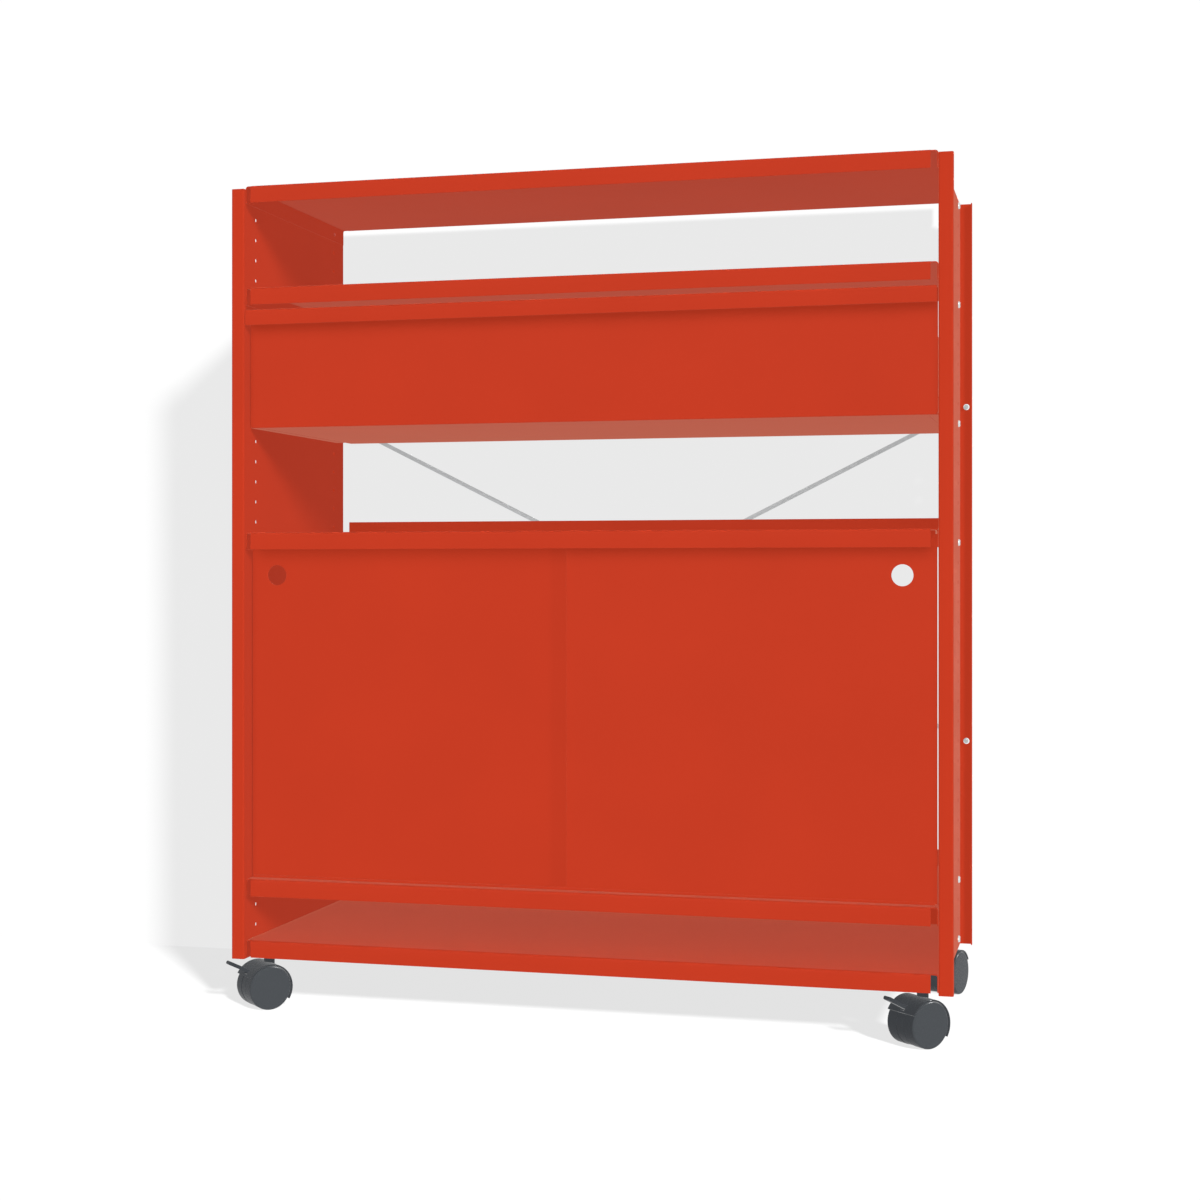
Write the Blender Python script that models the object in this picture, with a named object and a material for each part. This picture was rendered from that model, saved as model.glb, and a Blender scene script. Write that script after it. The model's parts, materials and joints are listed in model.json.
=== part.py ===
"""Aluminium shelving unit on casters, with one wide drawer and a pair of sliding doors.

Metres, +Z up. The unit faces -Y and stands on the floor at z = 0. While it is built, x = 0 is the middle,
y = 0 is the front plane and y = DEPTH the back plane; the whole is then centred on its footprint.
"""
from math import atan2, cos, pi, radians, sin, tan

import bmesh
import bpy
from mathutils import Vector

# Sheet metal
SHEET = 0.0015
BEND_RADIUS = 0.004
BEND_STEPS = 3
SEAT_GAP = 0.0003

# Modelling tolerances
SAME_PLACE = 0.00001
SMOOTH_BELOW = radians(35.0)
STRAIGHT_BELOW = radians(0.1)

# Side panels
PITCH = 0.030
HOLE_COUNT = 38
TOP_HOLE_DROP = 0.0095
BOTTOM_HOLE_RISE = 0.0145
INNER_WIDTH = 1.010
DEPTH = 0.390
PANEL_FLANGE = 0.020
PANEL_RETURN = 0.011
PANEL_BEND_RADIUS = 0.0025
HOLE_DIAMETER = 0.006
HOLE_SIDES = 10
HOLE_INSET = 0.043

# Shelves, hung on the hole level given with each name
SHELF_LEVELS = {
    "top_shelf": 0,
    "upper_shelf": 5,
    "cabinet_top_shelf": 17,
    "cabinet_base_shelf": 34,
    "bottom_shelf": 37,
}
SHELF_LIP = 0.025
SHELF_UPSTAND = 0.025
SHELF_HOLE_DROP = 0.0135
LIP_SETBACK = 0.010
CORNER_RELIEF = 0.001

# Screws
SCREW_SHANK_DIAMETER = 0.0048
SCREW_HEAD_DIAMETER = 0.010
SCREW_HEAD_HEIGHT = 0.003
SCREW_HEAD_CROWN = 0.001
SCREW_SOCKET_DIAMETER = 0.004
SCREW_SOCKET_DEPTH = 0.0018
SCREW_GRIP_PAST_FLANGE = 0.0005
SCREW_SIDES = 10
SCREW_SOCKET_SIDES = 6

# Drawer
RAIL_LEVEL = 11
DRAWER_TOP_GAP = 0.007
DRAWER_BELOW_RAIL_HOLE = 0.0115
DRAWER_SIDE_GAP = 0.002
GRIP_HEIGHT = 0.023
GRIP_REACH = 0.019
FRONT_CORNER_RADIUS = 0.005
FRONT_CORNER_STEPS = 4
TRAY_WALL = 0.002
TRAY_HEIGHT = 0.125
TRAY_INSET = 0.0155
TRAY_BACK_GAP = 0.006
RAIL_SHEET = 0.0015
RAIL_HEIGHT = 0.024
RAIL_HOLE_RISE = 0.0115
RAIL_LENGTH = 0.335
RAIL_FRONT_GAP = 0.002
RAIL_SIDE_GAP = 0.0005

# Sliding doors
DOOR_RECESS = 0.0205
DOOR_SHEET = 0.002
DOOR_EDGE_GAP = 0.003
DOOR_OVERLAP = 0.038
DOOR_TRACK_GAP = 0.0005
DOOR_LIFT = 0.004
FINGER_HOLE_DIAMETER = 0.030
FINGER_HOLE_SIDES = 24
FINGER_HOLE_DROP = 0.056
RIGHT_FINGER_HOLE_INSET = 0.047
LEFT_FINGER_HOLE_INSET = 0.0385
TRACK_BASE = 0.001
TRACK_RIB = 0.0012
LOWER_RIB_HEIGHT = 0.0025
UPPER_RIB_HEIGHT = 0.008
TRACK_END_GAP = 0.006

# Cross brace
ROD_DIAMETER = 0.0065
ROD_RESOLUTION = 2
ROD_HOOK_LENGTH = 0.012
ROD_CROSSING_GAP = 0.0003
ROD_POINTS = 9
BRACE_HOLE_DIAMETER = 0.0095
BRACE_HOLE_SIDES = 12
BRACE_HOLE_END = 0.311
BRACE_HOLE_OUT = 0.011

# Casters
CASTER_FRONT_TURN = radians(-43.0)
CASTER_BACK_TURN = radians(163.0)
CASTER_SIDE_INSET = 0.024
CASTER_FRONT_INSET = 0.0365
CASTER_BACK_INSET = 0.015
CASTER_TRAIL = 0.009
WHEEL_RADIUS = 0.032
WHEEL_WIDTH = 0.0187
WHEEL_OUTER_EDGE = 0.003
WHEEL_INNER_EDGE = 0.0004
WHEEL_CAP = 0.004
WHEEL_SIDES = 20
AXLE_RADIUS = 0.004
AXLE_TO_SHELF = 0.0695
RUNNING_GAP = 0.0003
FENDER_GAP = 0.0008
FENDER_SHEET = 0.0022
FENDER_BACK_ANGLE = radians(-32.0)
FENDER_FRONT_ANGLE = radians(151.0)
FENDER_STEPS = 12
CORE_RADIUS = 0.0316
CORE_WIDTH = 0.016
CORE_EDGE = 0.001
CORE_OVERLAP = 0.004
BOSS_RADIUS = 0.008
BOSS_SIDES = 12
BOSS_ROOT = 0.005
STEM_RADIUS = 0.005
STEM_LENGTH = 0.034
STEM_PLATE_RADIUS = 0.014
STEM_PLATE_HEIGHT = 0.003
LEVER_PIN_RADIUS = 0.002
LEVER_PIN_SIDES = 12
LEVER_PIVOT_OUT = 0.0165
LEVER_PIVOT_UP = 0.0195
LEVER_TIP_OUT = 0.0565
LEVER_TIP_UP = 0.0398
LEVER_TRAVEL = radians(12.0)
LEVER_THICKNESS = 0.0052
LEVER_WIDTH = 0.010
LEVER_EDGE = 0.0004
LEVER_HUB_RADIUS = 0.0045

# Heights that follow from the sizes above
PANEL_HEIGHT = TOP_HOLE_DROP + (HOLE_COUNT - 1) * PITCH + BOTTOM_HOLE_RISE
CASTER_HEIGHT = WHEEL_RADIUS + AXLE_TO_SHELF
PANEL_BOTTOM = CASTER_HEIGHT + SHEET - SHELF_HOLE_DROP - BOTTOM_HOLE_RISE
PANEL_TOP = PANEL_BOTTOM + PANEL_HEIGHT
HALF_WIDTH = INNER_WIDTH / 2
HOLE_ROWS_Y = (HOLE_INSET, DEPTH - HOLE_INSET)
SIDES = {"left": -1, "right": 1}


def level_z(level):
    """Height of the hole row at one level, counted down from the top."""
    return PANEL_TOP - TOP_HOLE_DROP - level * PITCH


def shelf_top(name):
    """Height of a shelf's upper face."""
    return level_z(SHELF_LEVELS[name]) + SHELF_HOLE_DROP


# Materials
def make_material(name, colour, roughness, metallic):
    """A plain Principled BSDF with the piece's colour."""
    material = bpy.data.materials.new(name)
    material.use_nodes = True
    shader = material.node_tree.nodes["Principled BSDF"]
    shader.inputs["Base Color"].default_value = (*colour, 1.0)
    shader.inputs["Roughness"].default_value = roughness
    shader.inputs["Metallic"].default_value = metallic
    return material


RED_PAINT = ((0.58, 0.048, 0.020), 0.42, 0.0)
ZINC = ((0.72, 0.72, 0.70), 0.35, 1.0)
ROD_STEEL = ((0.50, 0.50, 0.50), 0.40, 0.6)
DARK_PLASTIC = ((0.080, 0.092, 0.100), 0.50, 0.0)


# Shapes
def circle(radius, sides, centre=(0.0, 0.0)):
    """Points of a regular polygon whose corners lie on the circle."""
    step = 2 * pi / sides
    points = []
    for index in range(sides):
        angle = (index + 0.5) * step
        points.append((centre[0] + radius * cos(angle), centre[1] + radius * sin(angle)))
    return points


def rectangle(low, high):
    """Corner points of a rectangle."""
    return [(low[0], low[1]), (high[0], low[1]), (high[0], high[1]), (low[0], high[1])]


def folded_edges(path, thickness, outer_radius=BEND_RADIUS):
    """Left and right faces of a sheet folded along a centre line, with round bends, as two rows of points."""
    half = thickness / 2
    bend = outer_radius - half
    points = [Vector(point) for point in path]
    left = []
    right = []
    for index, point in enumerate(points):
        if index == 0:
            along = (points[1] - point).normalized()
        else:
            along = (point - points[index - 1]).normalized()
        normal = Vector((-along.y, along.x))
        inside = 0 < index < len(points) - 1
        turn = along.angle_signed(points[index + 1] - point) if inside else 0.0
        if abs(turn) < STRAIGHT_BELOW:
            left.append(point + normal * half)
            right.append(point - normal * half)
            continue
        side = -1.0 if turn > 0 else 1.0
        centre = point - along * bend * tan(abs(turn) / 2) + normal * side * bend
        for step in range(BEND_STEPS + 1):
            angle = side * abs(turn) * step / BEND_STEPS
            spoke = -normal * side
            spoke = Vector((
                spoke.x * cos(angle) - spoke.y * sin(angle),
                spoke.x * sin(angle) + spoke.y * cos(angle),
            ))
            left.append(centre + spoke * (bend - side * half))
            right.append(centre + spoke * (bend + side * half))
    return left, right


def folded_outline(path, thickness, outer_radius=BEND_RADIUS):
    """Closed outline of a folded sheet."""
    left, right = folded_edges(path, thickness, outer_radius)
    return [tuple(point) for point in left + right[::-1]]


def prism(outline, axis, start, end):
    """Extrude an outline along X, Y or Z; the outline is in the two other axes, in XYZ order."""
    place = {
        "X": lambda u, v, w: (w, u, v),
        "Y": lambda u, v, w: (u, w, v),
        "Z": lambda u, v, w: (u, v, w),
    }[axis]
    mesh = bmesh.new()
    low = [mesh.verts.new(place(u, v, start)) for u, v in outline]
    high = [mesh.verts.new(place(u, v, end)) for u, v in outline]
    mesh.faces.new(low)
    mesh.faces.new(high)
    for index in range(len(outline)):
        following = (index + 1) % len(outline)
        mesh.faces.new((low[index], low[following], high[following], high[index]))
    bmesh.ops.recalc_face_normals(mesh, faces=mesh.faces)
    return mesh


def swept_ring(profile, sides, start_angle=0.0, sweep=2 * pi):
    """Turn a closed (x, r) profile about the X axis, as a whole ring or an arc with closed ends."""
    whole = sweep >= 2 * pi
    count = sides if whole else sides + 1
    mesh = bmesh.new()
    rings = []
    for index in range(count):
        angle = start_angle + sweep * index / sides
        rings.append([mesh.verts.new((x, r * cos(angle), r * sin(angle))) for x, r in profile])
    for index in range(sides):
        near = rings[index]
        far = rings[(index + 1) % count]
        for corner in range(len(profile)):
            following = (corner + 1) % len(profile)
            mesh.faces.new((near[corner], near[following], far[following], far[corner]))
    if not whole:
        mesh.faces.new(rings[0])
        mesh.faces.new(rings[-1])
    bmesh.ops.recalc_face_normals(mesh, faces=mesh.faces)
    return mesh


def turned(profile, sides):
    """Turn an open (r, z) profile that starts and ends on the Z axis into a solid."""
    mesh = bmesh.new()
    verts = [mesh.verts.new((r, 0.0, z)) for r, z in profile]
    edges = [mesh.edges.new(pair) for pair in zip(verts, verts[1:])]
    bmesh.ops.spin(
        mesh, geom=verts + edges, cent=(0, 0, 0), axis=(0, 0, 1), angle=2 * pi, steps=sides, use_merge=True
    )
    bmesh.ops.remove_doubles(mesh, verts=mesh.verts, dist=SAME_PLACE)
    bmesh.ops.recalc_face_normals(mesh, faces=mesh.faces)
    return mesh


def add_object(name, mesh, finish, parent, location=(0.0, 0.0, 0.0)):
    """Make a named object with its own material from a bmesh."""
    data = bpy.data.meshes.new(name)
    mesh.to_mesh(data)
    mesh.free()
    data.materials.append(make_material(name, *finish))
    piece = bpy.data.objects.new(name, data)
    bpy.context.collection.objects.link(piece)
    piece.parent = parent
    piece.location = location
    return piece


def add_empty(name, parent, location, turn=0.0):
    """An empty that carries a moving group, on its joint's axis."""
    empty = bpy.data.objects.new(name, None)
    bpy.context.collection.objects.link(empty)
    empty.parent = parent
    empty.location = location
    empty.rotation_euler = (0.0, 0.0, turn)
    return empty


def combine(mesh, others, operation):
    """Join or cut a bmesh with other bmeshes and return the result as a bmesh."""
    target = bpy.data.objects.new("target", bpy.data.meshes.new("target"))
    mesh.to_mesh(target.data)
    mesh.free()
    bpy.context.collection.objects.link(target)
    tools = []
    for index, other in enumerate(others):
        tool = bpy.data.objects.new("tool", bpy.data.meshes.new("tool"))
        other.to_mesh(tool.data)
        other.free()
        bpy.context.collection.objects.link(tool)
        modifier = target.modifiers.new(f"step_{index}", "BOOLEAN")
        modifier.operation = operation
        modifier.solver = "EXACT"
        modifier.object = tool
        tools.append(tool)
    graph = bpy.context.evaluated_depsgraph_get()
    result = bmesh.new()
    result.from_object(target, graph)
    bmesh.ops.dissolve_degenerate(result, edges=result.edges, dist=SAME_PLACE / 10)
    for piece in [target] + tools:
        data = piece.data
        bpy.data.objects.remove(piece)
        bpy.data.meshes.remove(data)
    return result


def gathered(meshes):
    """Put several separate bodies into one bmesh."""
    whole = bmesh.new()
    for mesh in meshes:
        data = bpy.data.meshes.new("gathered")
        mesh.to_mesh(data)
        mesh.free()
        whole.from_mesh(data)
        bpy.data.meshes.remove(data)
    return whole


def box(low, high):
    """A rectangular block."""
    return prism(rectangle(low[:2], high[:2]), "Z", low[2], high[2])


# Side panels: a web with flanges folded outward and returns folded toward each other
def side_panel(side, parent):
    flange = PANEL_FLANGE - SHEET / 2
    path = [
        (flange, PANEL_RETURN),
        (flange, SHEET / 2),
        (SHEET / 2, SHEET / 2),
        (SHEET / 2, DEPTH - SHEET / 2),
        (flange, DEPTH - SHEET / 2),
        (flange, DEPTH - PANEL_RETURN),
    ]
    sign = SIDES[side]
    outline = [(sign * (HALF_WIDTH + x), y) for x, y in folded_outline(path, SHEET, PANEL_BEND_RADIUS)]
    panel = prism(outline, "Z", PANEL_BOTTOM, PANEL_TOP)
    inner = sign * (HALF_WIDTH - SHEET)
    outer = sign * (HALF_WIDTH + 2 * SHEET)
    cutters = []
    for y in HOLE_ROWS_Y:
        for level in range(HOLE_COUNT):
            hole = circle(HOLE_DIAMETER / 2, HOLE_SIDES, (y, level_z(level)))
            cutters.append(prism(hole, "X", inner, outer))
    for z in (PANEL_BOTTOM + BRACE_HOLE_END, PANEL_TOP - BRACE_HOLE_END):
        hole = circle(BRACE_HOLE_DIAMETER / 2, BRACE_HOLE_SIDES, (sign * (HALF_WIDTH + BRACE_HOLE_OUT), z))
        cutters.append(prism(hole, "Y", DEPTH - 2 * SHEET, DEPTH + SHEET))
    panel = combine(panel, [gathered(cutters)], "DIFFERENCE")
    add_object(f"{side}_panel", panel, RED_PAINT, parent)


# Shelves: a plate with a lip folded down in front, an upstand at the back and side flanges with screw holes
SHELF_HALF = HALF_WIDTH - SEAT_GAP
LIP_HALF = SHELF_HALF - LIP_SETBACK
FLANGE_START = BEND_RADIUS + CORNER_RELIEF


def add_flap(mesh, path, near):
    """Carry the plate on from the four corners of its open edge, along a folded (y, z) path."""
    left, right = folded_edges(path, SHEET)
    for (left_y, left_z), (right_y, right_z) in zip(left[1:], right[1:]):
        far = [
            mesh.verts.new((-LIP_HALF, left_y, left_z)),
            mesh.verts.new((LIP_HALF, left_y, left_z)),
            mesh.verts.new((LIP_HALF, right_y, right_z)),
            mesh.verts.new((-LIP_HALF, right_y, right_z)),
        ]
        for corner in range(4):
            following = (corner + 1) % 4
            mesh.faces.new((near[corner], near[following], far[following], far[corner]))
        near = far
    mesh.faces.new(near)


def shelf_sheet():
    """The folded sheet as one closed body: the plate with its side flanges, then the front and back flaps."""
    edge = SHELF_HALF - SHEET / 2
    middle = -SHEET / 2
    flange_end = DEPTH - FLANGE_START
    section = [
        (-edge, -SHELF_LIP),
        (-edge, middle),
        (-LIP_HALF, middle),
        (LIP_HALF, middle),
        (edge, middle),
        (edge, -SHELF_LIP),
    ]
    upper, lower = folded_edges(section, SHEET)
    flap_root = BEND_STEPS + 2
    mesh = bmesh.new()
    rows = []
    for y in (FLANGE_START, flange_end):
        top = [mesh.verts.new((x, y, z)) for x, z in upper]
        under = [mesh.verts.new((x, y, z)) for x, z in lower]
        rows.append((top, under))
    (front_top, front_under), (back_top, back_under) = rows
    for index in range(len(upper) - 1):
        following = index + 1
        for front, back in ((front_top, back_top), (front_under, back_under)):
            mesh.faces.new((front[index], front[following], back[following], back[index]))
        if index == flap_root:
            continue
        for top, under in rows:
            mesh.faces.new((top[index], top[following], under[following], under[index]))
    for index in (0, -1):
        mesh.faces.new((front_top[index], front_under[index], back_under[index], back_top[index]))
    lip = [(FLANGE_START, middle), (SHEET / 2, middle), (SHEET / 2, -SHELF_LIP)]
    roots = slice(flap_root, flap_root + 2)
    add_flap(mesh, lip, front_under[roots] + front_top[roots][::-1])
    upstand = [(flange_end, middle), (DEPTH - SHEET / 2, middle), (DEPTH - SHEET / 2, SHELF_UPSTAND)]
    add_flap(mesh, upstand, back_top[roots] + back_under[roots][::-1])
    bmesh.ops.recalc_face_normals(mesh, faces=mesh.faces)
    return mesh


def shelf(name, parent):
    cutters = []
    for sign in SIDES.values():
        for y in HOLE_ROWS_Y:
            hole = circle(HOLE_DIAMETER / 2, HOLE_SIDES, (y, -SHELF_HOLE_DROP))
            cutters.append(prism(hole, "X", sign * (SHELF_HALF - 2 * SHEET), sign * (SHELF_HALF + SHEET)))
    plate = combine(shelf_sheet(), [gathered(cutters)], "DIFFERENCE")
    add_object(name, plate, RED_PAINT, parent, (0.0, 0.0, shelf_top(name)))


# Screws: round heads with a hex socket, outside the panel webs
def screw(name, side, level, y, parent):
    head = SCREW_HEAD_DIAMETER / 2
    shank = SCREW_SHANK_DIAMETER / 2
    reach = SHEET * 2 + SEAT_GAP * 2 + SCREW_GRIP_PAST_FLANGE
    profile = [
        (0.0, -reach),
        (shank, -reach),
        (shank, 0.0),
        (head, 0.0),
        (head, SCREW_HEAD_HEIGHT - SCREW_HEAD_CROWN),
        (head - SCREW_HEAD_CROWN, SCREW_HEAD_HEIGHT),
        (0.0, SCREW_HEAD_HEIGHT),
    ]
    body = turned(profile, SCREW_SIDES)
    socket = circle(SCREW_SOCKET_DIAMETER / 2, SCREW_SOCKET_SIDES)
    socket_floor = SCREW_HEAD_HEIGHT - SCREW_SOCKET_DEPTH
    cutter = prism(socket, "Z", socket_floor, SCREW_HEAD_HEIGHT + SCREW_SOCKET_DEPTH)
    body = combine(body, [cutter], "DIFFERENCE")
    sign = SIDES[side]
    place = (sign * (HALF_WIDTH + SHEET + SEAT_GAP), y, level_z(level))
    piece = add_object(name, body, ZINC, parent, place)
    piece.rotation_euler = (0.0, sign * pi / 2, 0.0)


# Drawer: a front with a folded grip, a tray behind it, and a pair of nested rails at each side
DRAWER_TOP = shelf_top("upper_shelf") - SHELF_LIP - DRAWER_TOP_GAP
DRAWER_BOTTOM = level_z(RAIL_LEVEL) - DRAWER_BELOW_RAIL_HOLE
TRAY_FRONT = GRIP_REACH + SHEET + SEAT_GAP
TRAY_HALF = HALF_WIDTH - TRAY_INSET
RAIL_BOTTOM = level_z(RAIL_LEVEL) - RAIL_HOLE_RISE
RAIL_FRONT = TRAY_FRONT + RAIL_FRONT_GAP


def drawer_front(parent):
    face = GRIP_REACH + SHEET / 2
    path = [
        (face, DRAWER_BOTTOM),
        (face, DRAWER_TOP - SHEET / 2),
        (SHEET / 2, DRAWER_TOP - SHEET / 2),
        (SHEET / 2, DRAWER_TOP - GRIP_HEIGHT),
    ]
    half = HALF_WIDTH - DRAWER_SIDE_GAP
    front = prism(folded_outline(path, SHEET), "X", -half, half)
    corners = []
    for line in front.edges:
        ends = [vert.co for vert in line.verts]
        at_bottom = all(abs(end.z - DRAWER_BOTTOM) < SAME_PLACE for end in ends)
        if at_bottom and abs(ends[0].x - ends[1].x) < SAME_PLACE:
            corners.append(line)
    bmesh.ops.bevel(
        front,
        geom=corners,
        offset=FRONT_CORNER_RADIUS,
        segments=FRONT_CORNER_STEPS,
        profile=0.5,
        affect="EDGES",
    )
    add_object("drawer_front", front, RED_PAINT, parent)


def drawer_tray(parent):
    low = Vector((-TRAY_HALF, TRAY_FRONT, DRAWER_BOTTOM))
    high = Vector((TRAY_HALF, DEPTH - TRAY_BACK_GAP, DRAWER_BOTTOM + TRAY_HEIGHT))
    wall = Vector((TRAY_WALL, TRAY_WALL, TRAY_WALL))
    hollow_high = Vector((high.x - TRAY_WALL, high.y - TRAY_WALL, high.z + TRAY_WALL))
    tray = combine(box(low, high), [box(low + wall, hollow_high)], "DIFFERENCE")
    add_object("drawer_tray", tray, RED_PAINT, parent)


def channel_outline(back, mouth, low, high):
    """Outline of a square channel in the (x, z) plane, from its back wall to its open mouth."""
    step = RAIL_SHEET if mouth > back else -RAIL_SHEET
    return [
        (back, low),
        (mouth, low),
        (mouth, low + RAIL_SHEET),
        (back + step, low + RAIL_SHEET),
        (back + step, high - RAIL_SHEET),
        (mouth, high - RAIL_SHEET),
        (mouth, high),
        (back, high),
    ]


def drawer_rails(side, fixed_parent, moving_parent):
    sign = SIDES[side]
    rail_end = RAIL_FRONT + RAIL_LENGTH
    panel_seat = HALF_WIDTH - SEAT_GAP
    tray_seat = TRAY_HALF + SEAT_GAP
    low = RAIL_BOTTOM
    high = RAIL_BOTTOM + RAIL_HEIGHT
    outline = channel_outline(sign * panel_seat, sign * (tray_seat + RAIL_SIDE_GAP), low, high)
    rail = prism(outline, "Y", RAIL_FRONT, rail_end)
    cutters = []
    for y in HOLE_ROWS_Y:
        hole = circle(HOLE_DIAMETER / 2, HOLE_SIDES, (y, level_z(RAIL_LEVEL)))
        cutters.append(prism(hole, "X", sign * (panel_seat - 2 * RAIL_SHEET), sign * (panel_seat + SHEET)))
    rail = combine(rail, [gathered(cutters)], "DIFFERENCE")
    add_object(f"{side}_fixed_rail", rail, RED_PAINT, fixed_parent)
    inset = RAIL_SHEET + SEAT_GAP
    screw_room = SCREW_GRIP_PAST_FLANGE + SHEET + RAIL_SIDE_GAP
    outline = channel_outline(sign * tray_seat, sign * (panel_seat - screw_room), low + inset, high - inset)
    rail = prism(outline, "Y", RAIL_FRONT, rail_end)
    add_object(f"{side}_moving_rail", rail, RED_PAINT, moving_parent)


# Sliding doors: flat sheets whose edges run in the grooves of a track above and below
DOOR_OUTER_EDGE = HALF_WIDTH - DOOR_EDGE_GAP
DOOR_INNER_EDGE = DOOR_OVERLAP / 2
TRACK_GROOVE = DOOR_SHEET + 2 * RUNNING_GAP
DOOR_PITCH = TRACK_GROOVE + TRACK_RIB
DOOR_FACES = {"right": DOOR_RECESS, "left": DOOR_RECESS + DOOR_PITCH}
FINGER_HOLE_INSETS = {"right": RIGHT_FINGER_HOLE_INSET, "left": LEFT_FINGER_HOLE_INSET}
TRACK_FACES = {
    "lower": shelf_top("cabinet_base_shelf") + SEAT_GAP,
    "upper": shelf_top("cabinet_top_shelf") - SHEET - SEAT_GAP,
}
TRACK_UP = {"lower": 1, "upper": -1}
RIB_HEIGHTS = {"lower": LOWER_RIB_HEIGHT, "upper": UPPER_RIB_HEIGHT}
TRACK_FRONT = DOOR_FACES["right"] - RUNNING_GAP - TRACK_RIB
TRACK_BACK = DOOR_FACES["left"] + DOOR_SHEET + RUNNING_GAP + TRACK_RIB
DOOR_LOW = TRACK_FACES["lower"] + TRACK_BASE + DOOR_TRACK_GAP
DOOR_HIGH = TRACK_FACES["upper"] - TRACK_BASE - DOOR_LIFT


def door_track(end, parent):
    """A strip with three ribs, which leave a groove for the edge of each door."""
    up = TRACK_UP[end]
    face = TRACK_FACES[end]
    groove_floor = face + up * TRACK_BASE
    rib_top = groove_floor + up * RIB_HEIGHTS[end]
    outline = [(TRACK_FRONT, face), (TRACK_FRONT, rib_top)]
    for door_face in DOOR_FACES.values():
        groove = door_face - RUNNING_GAP
        outline.append((groove, rib_top))
        outline.append((groove, groove_floor))
        outline.append((groove + TRACK_GROOVE, groove_floor))
        outline.append((groove + TRACK_GROOVE, rib_top))
    outline += [(TRACK_BACK, rib_top), (TRACK_BACK, face)]
    half = HALF_WIDTH - TRACK_END_GAP
    add_object(f"{end}_door_track", prism(outline, "X", -half, half), RED_PAINT, parent)


def sliding_door(side, parent):
    sign = SIDES[side]
    front = DOOR_FACES[side]
    corners = sorted((sign * DOOR_OUTER_EDGE, -sign * DOOR_INNER_EDGE))
    sheet = box((corners[0], front, DOOR_LOW), (corners[1], front + DOOR_SHEET, DOOR_HIGH))
    centre = (sign * (DOOR_OUTER_EDGE - FINGER_HOLE_INSETS[side]), DOOR_HIGH - FINGER_HOLE_DROP)
    hole = circle(FINGER_HOLE_DIAMETER / 2, FINGER_HOLE_SIDES, centre)
    cutter = prism(hole, "Y", front - DOOR_SHEET, front + 2 * DOOR_SHEET)
    add_object(f"{side}_door", combine(sheet, [cutter], "DIFFERENCE"), RED_PAINT, parent)


# Cross brace: two rods behind the back flanges, hooked forward through the flange holes
def brace_rod(name, high_side, bow, parent):
    sign = SIDES[high_side]
    reach = HALF_WIDTH + BRACE_HOLE_OUT
    rest_y = DEPTH + SEAT_GAP + ROD_DIAMETER / 2
    start = Vector((sign * reach, rest_y, PANEL_TOP - BRACE_HOLE_END))
    end = Vector((-sign * reach, rest_y, PANEL_BOTTOM + BRACE_HOLE_END))
    points = []
    for index in range(ROD_POINTS):
        share = index / (ROD_POINTS - 1)
        point = start.lerp(end, share)
        point.y += bow * sin(pi * share)
        points.append(point)
    hook = Vector((0.0, -ROD_HOOK_LENGTH, 0.0))
    points = [start + hook] + points + [end + hook]
    curve = bpy.data.curves.new(name, "CURVE")
    curve.dimensions = "3D"
    curve.bevel_depth = ROD_DIAMETER / 2
    curve.bevel_resolution = ROD_RESOLUTION
    curve.use_fill_caps = True
    spline = curve.splines.new("POLY")
    spline.points.add(len(points) - 1)
    for knot, point in zip(spline.points, points):
        knot.co = (*point, 1.0)
    curve.materials.append(make_material(name, *ROD_STEEL))
    rod = bpy.data.objects.new(name, curve)
    bpy.context.collection.objects.link(rod)
    rod.parent = parent


# Casters: a stem plate under the bottom shelf, a swivelling hood with a roof, twin wheels and a brake lever
FENDER_INNER = WHEEL_RADIUS + FENDER_GAP
FENDER_OUTER = FENDER_INNER + FENDER_SHEET
WHEEL_START = CORE_WIDTH / 2 + RUNNING_GAP
WHEEL_END = WHEEL_START + WHEEL_WIDTH
HOOD_TOP = AXLE_TO_SHELF - SEAT_GAP - STEM_PLATE_HEIGHT - RUNNING_GAP
LEVER_HALF_WIDTH = LEVER_WIDTH / 2
LEVER_PIVOT = Vector((-LEVER_PIVOT_OUT, LEVER_PIVOT_UP))
LEVER_REACH = Vector((LEVER_PIVOT_OUT - LEVER_TIP_OUT, LEVER_TIP_UP - LEVER_PIVOT_UP))
LEVER_RISE = atan2(LEVER_REACH.y, -LEVER_REACH.x)
CASTER_X = HALF_WIDTH - CASTER_SIDE_INSET
CASTER_BACK_Y = DEPTH - CASTER_BACK_INSET
CASTERS = {
    "front_left": ((-CASTER_X, CASTER_FRONT_INSET), CASTER_FRONT_TURN),
    "front_right": ((CASTER_X, CASTER_FRONT_INSET), CASTER_FRONT_TURN),
    "rear_left": ((-CASTER_X, CASTER_BACK_Y), CASTER_BACK_TURN),
    "rear_right": ((CASTER_X, CASTER_BACK_Y), CASTER_BACK_TURN),
}
BRAKED = ("front_left", "front_right")


def caster_stem(name, place, parent):
    plate_top = CASTER_HEIGHT - SEAT_GAP
    plate_low = plate_top - STEM_PLATE_HEIGHT
    profile = [
        (0.0, plate_low - STEM_LENGTH),
        (STEM_RADIUS, plate_low - STEM_LENGTH),
        (STEM_RADIUS, plate_low),
        (STEM_PLATE_RADIUS, plate_low),
        (STEM_PLATE_RADIUS, plate_top),
        (0.0, plate_top),
    ]
    add_object(f"{name}_caster_stem", turned(profile, BOSS_SIDES), ZINC, parent, (*place, 0.0))


def lever_edge(rise, offset, reach):
    """Ends of one side of a tongue that rises outward from the pivot, in the (y, z) plane about the axle."""
    along = Vector((-cos(rise), sin(rise)))
    upward = Vector((sin(rise), cos(rise)))
    root = LEVER_PIVOT + upward * offset
    return [tuple(root), tuple(root + along * reach)]


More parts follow.
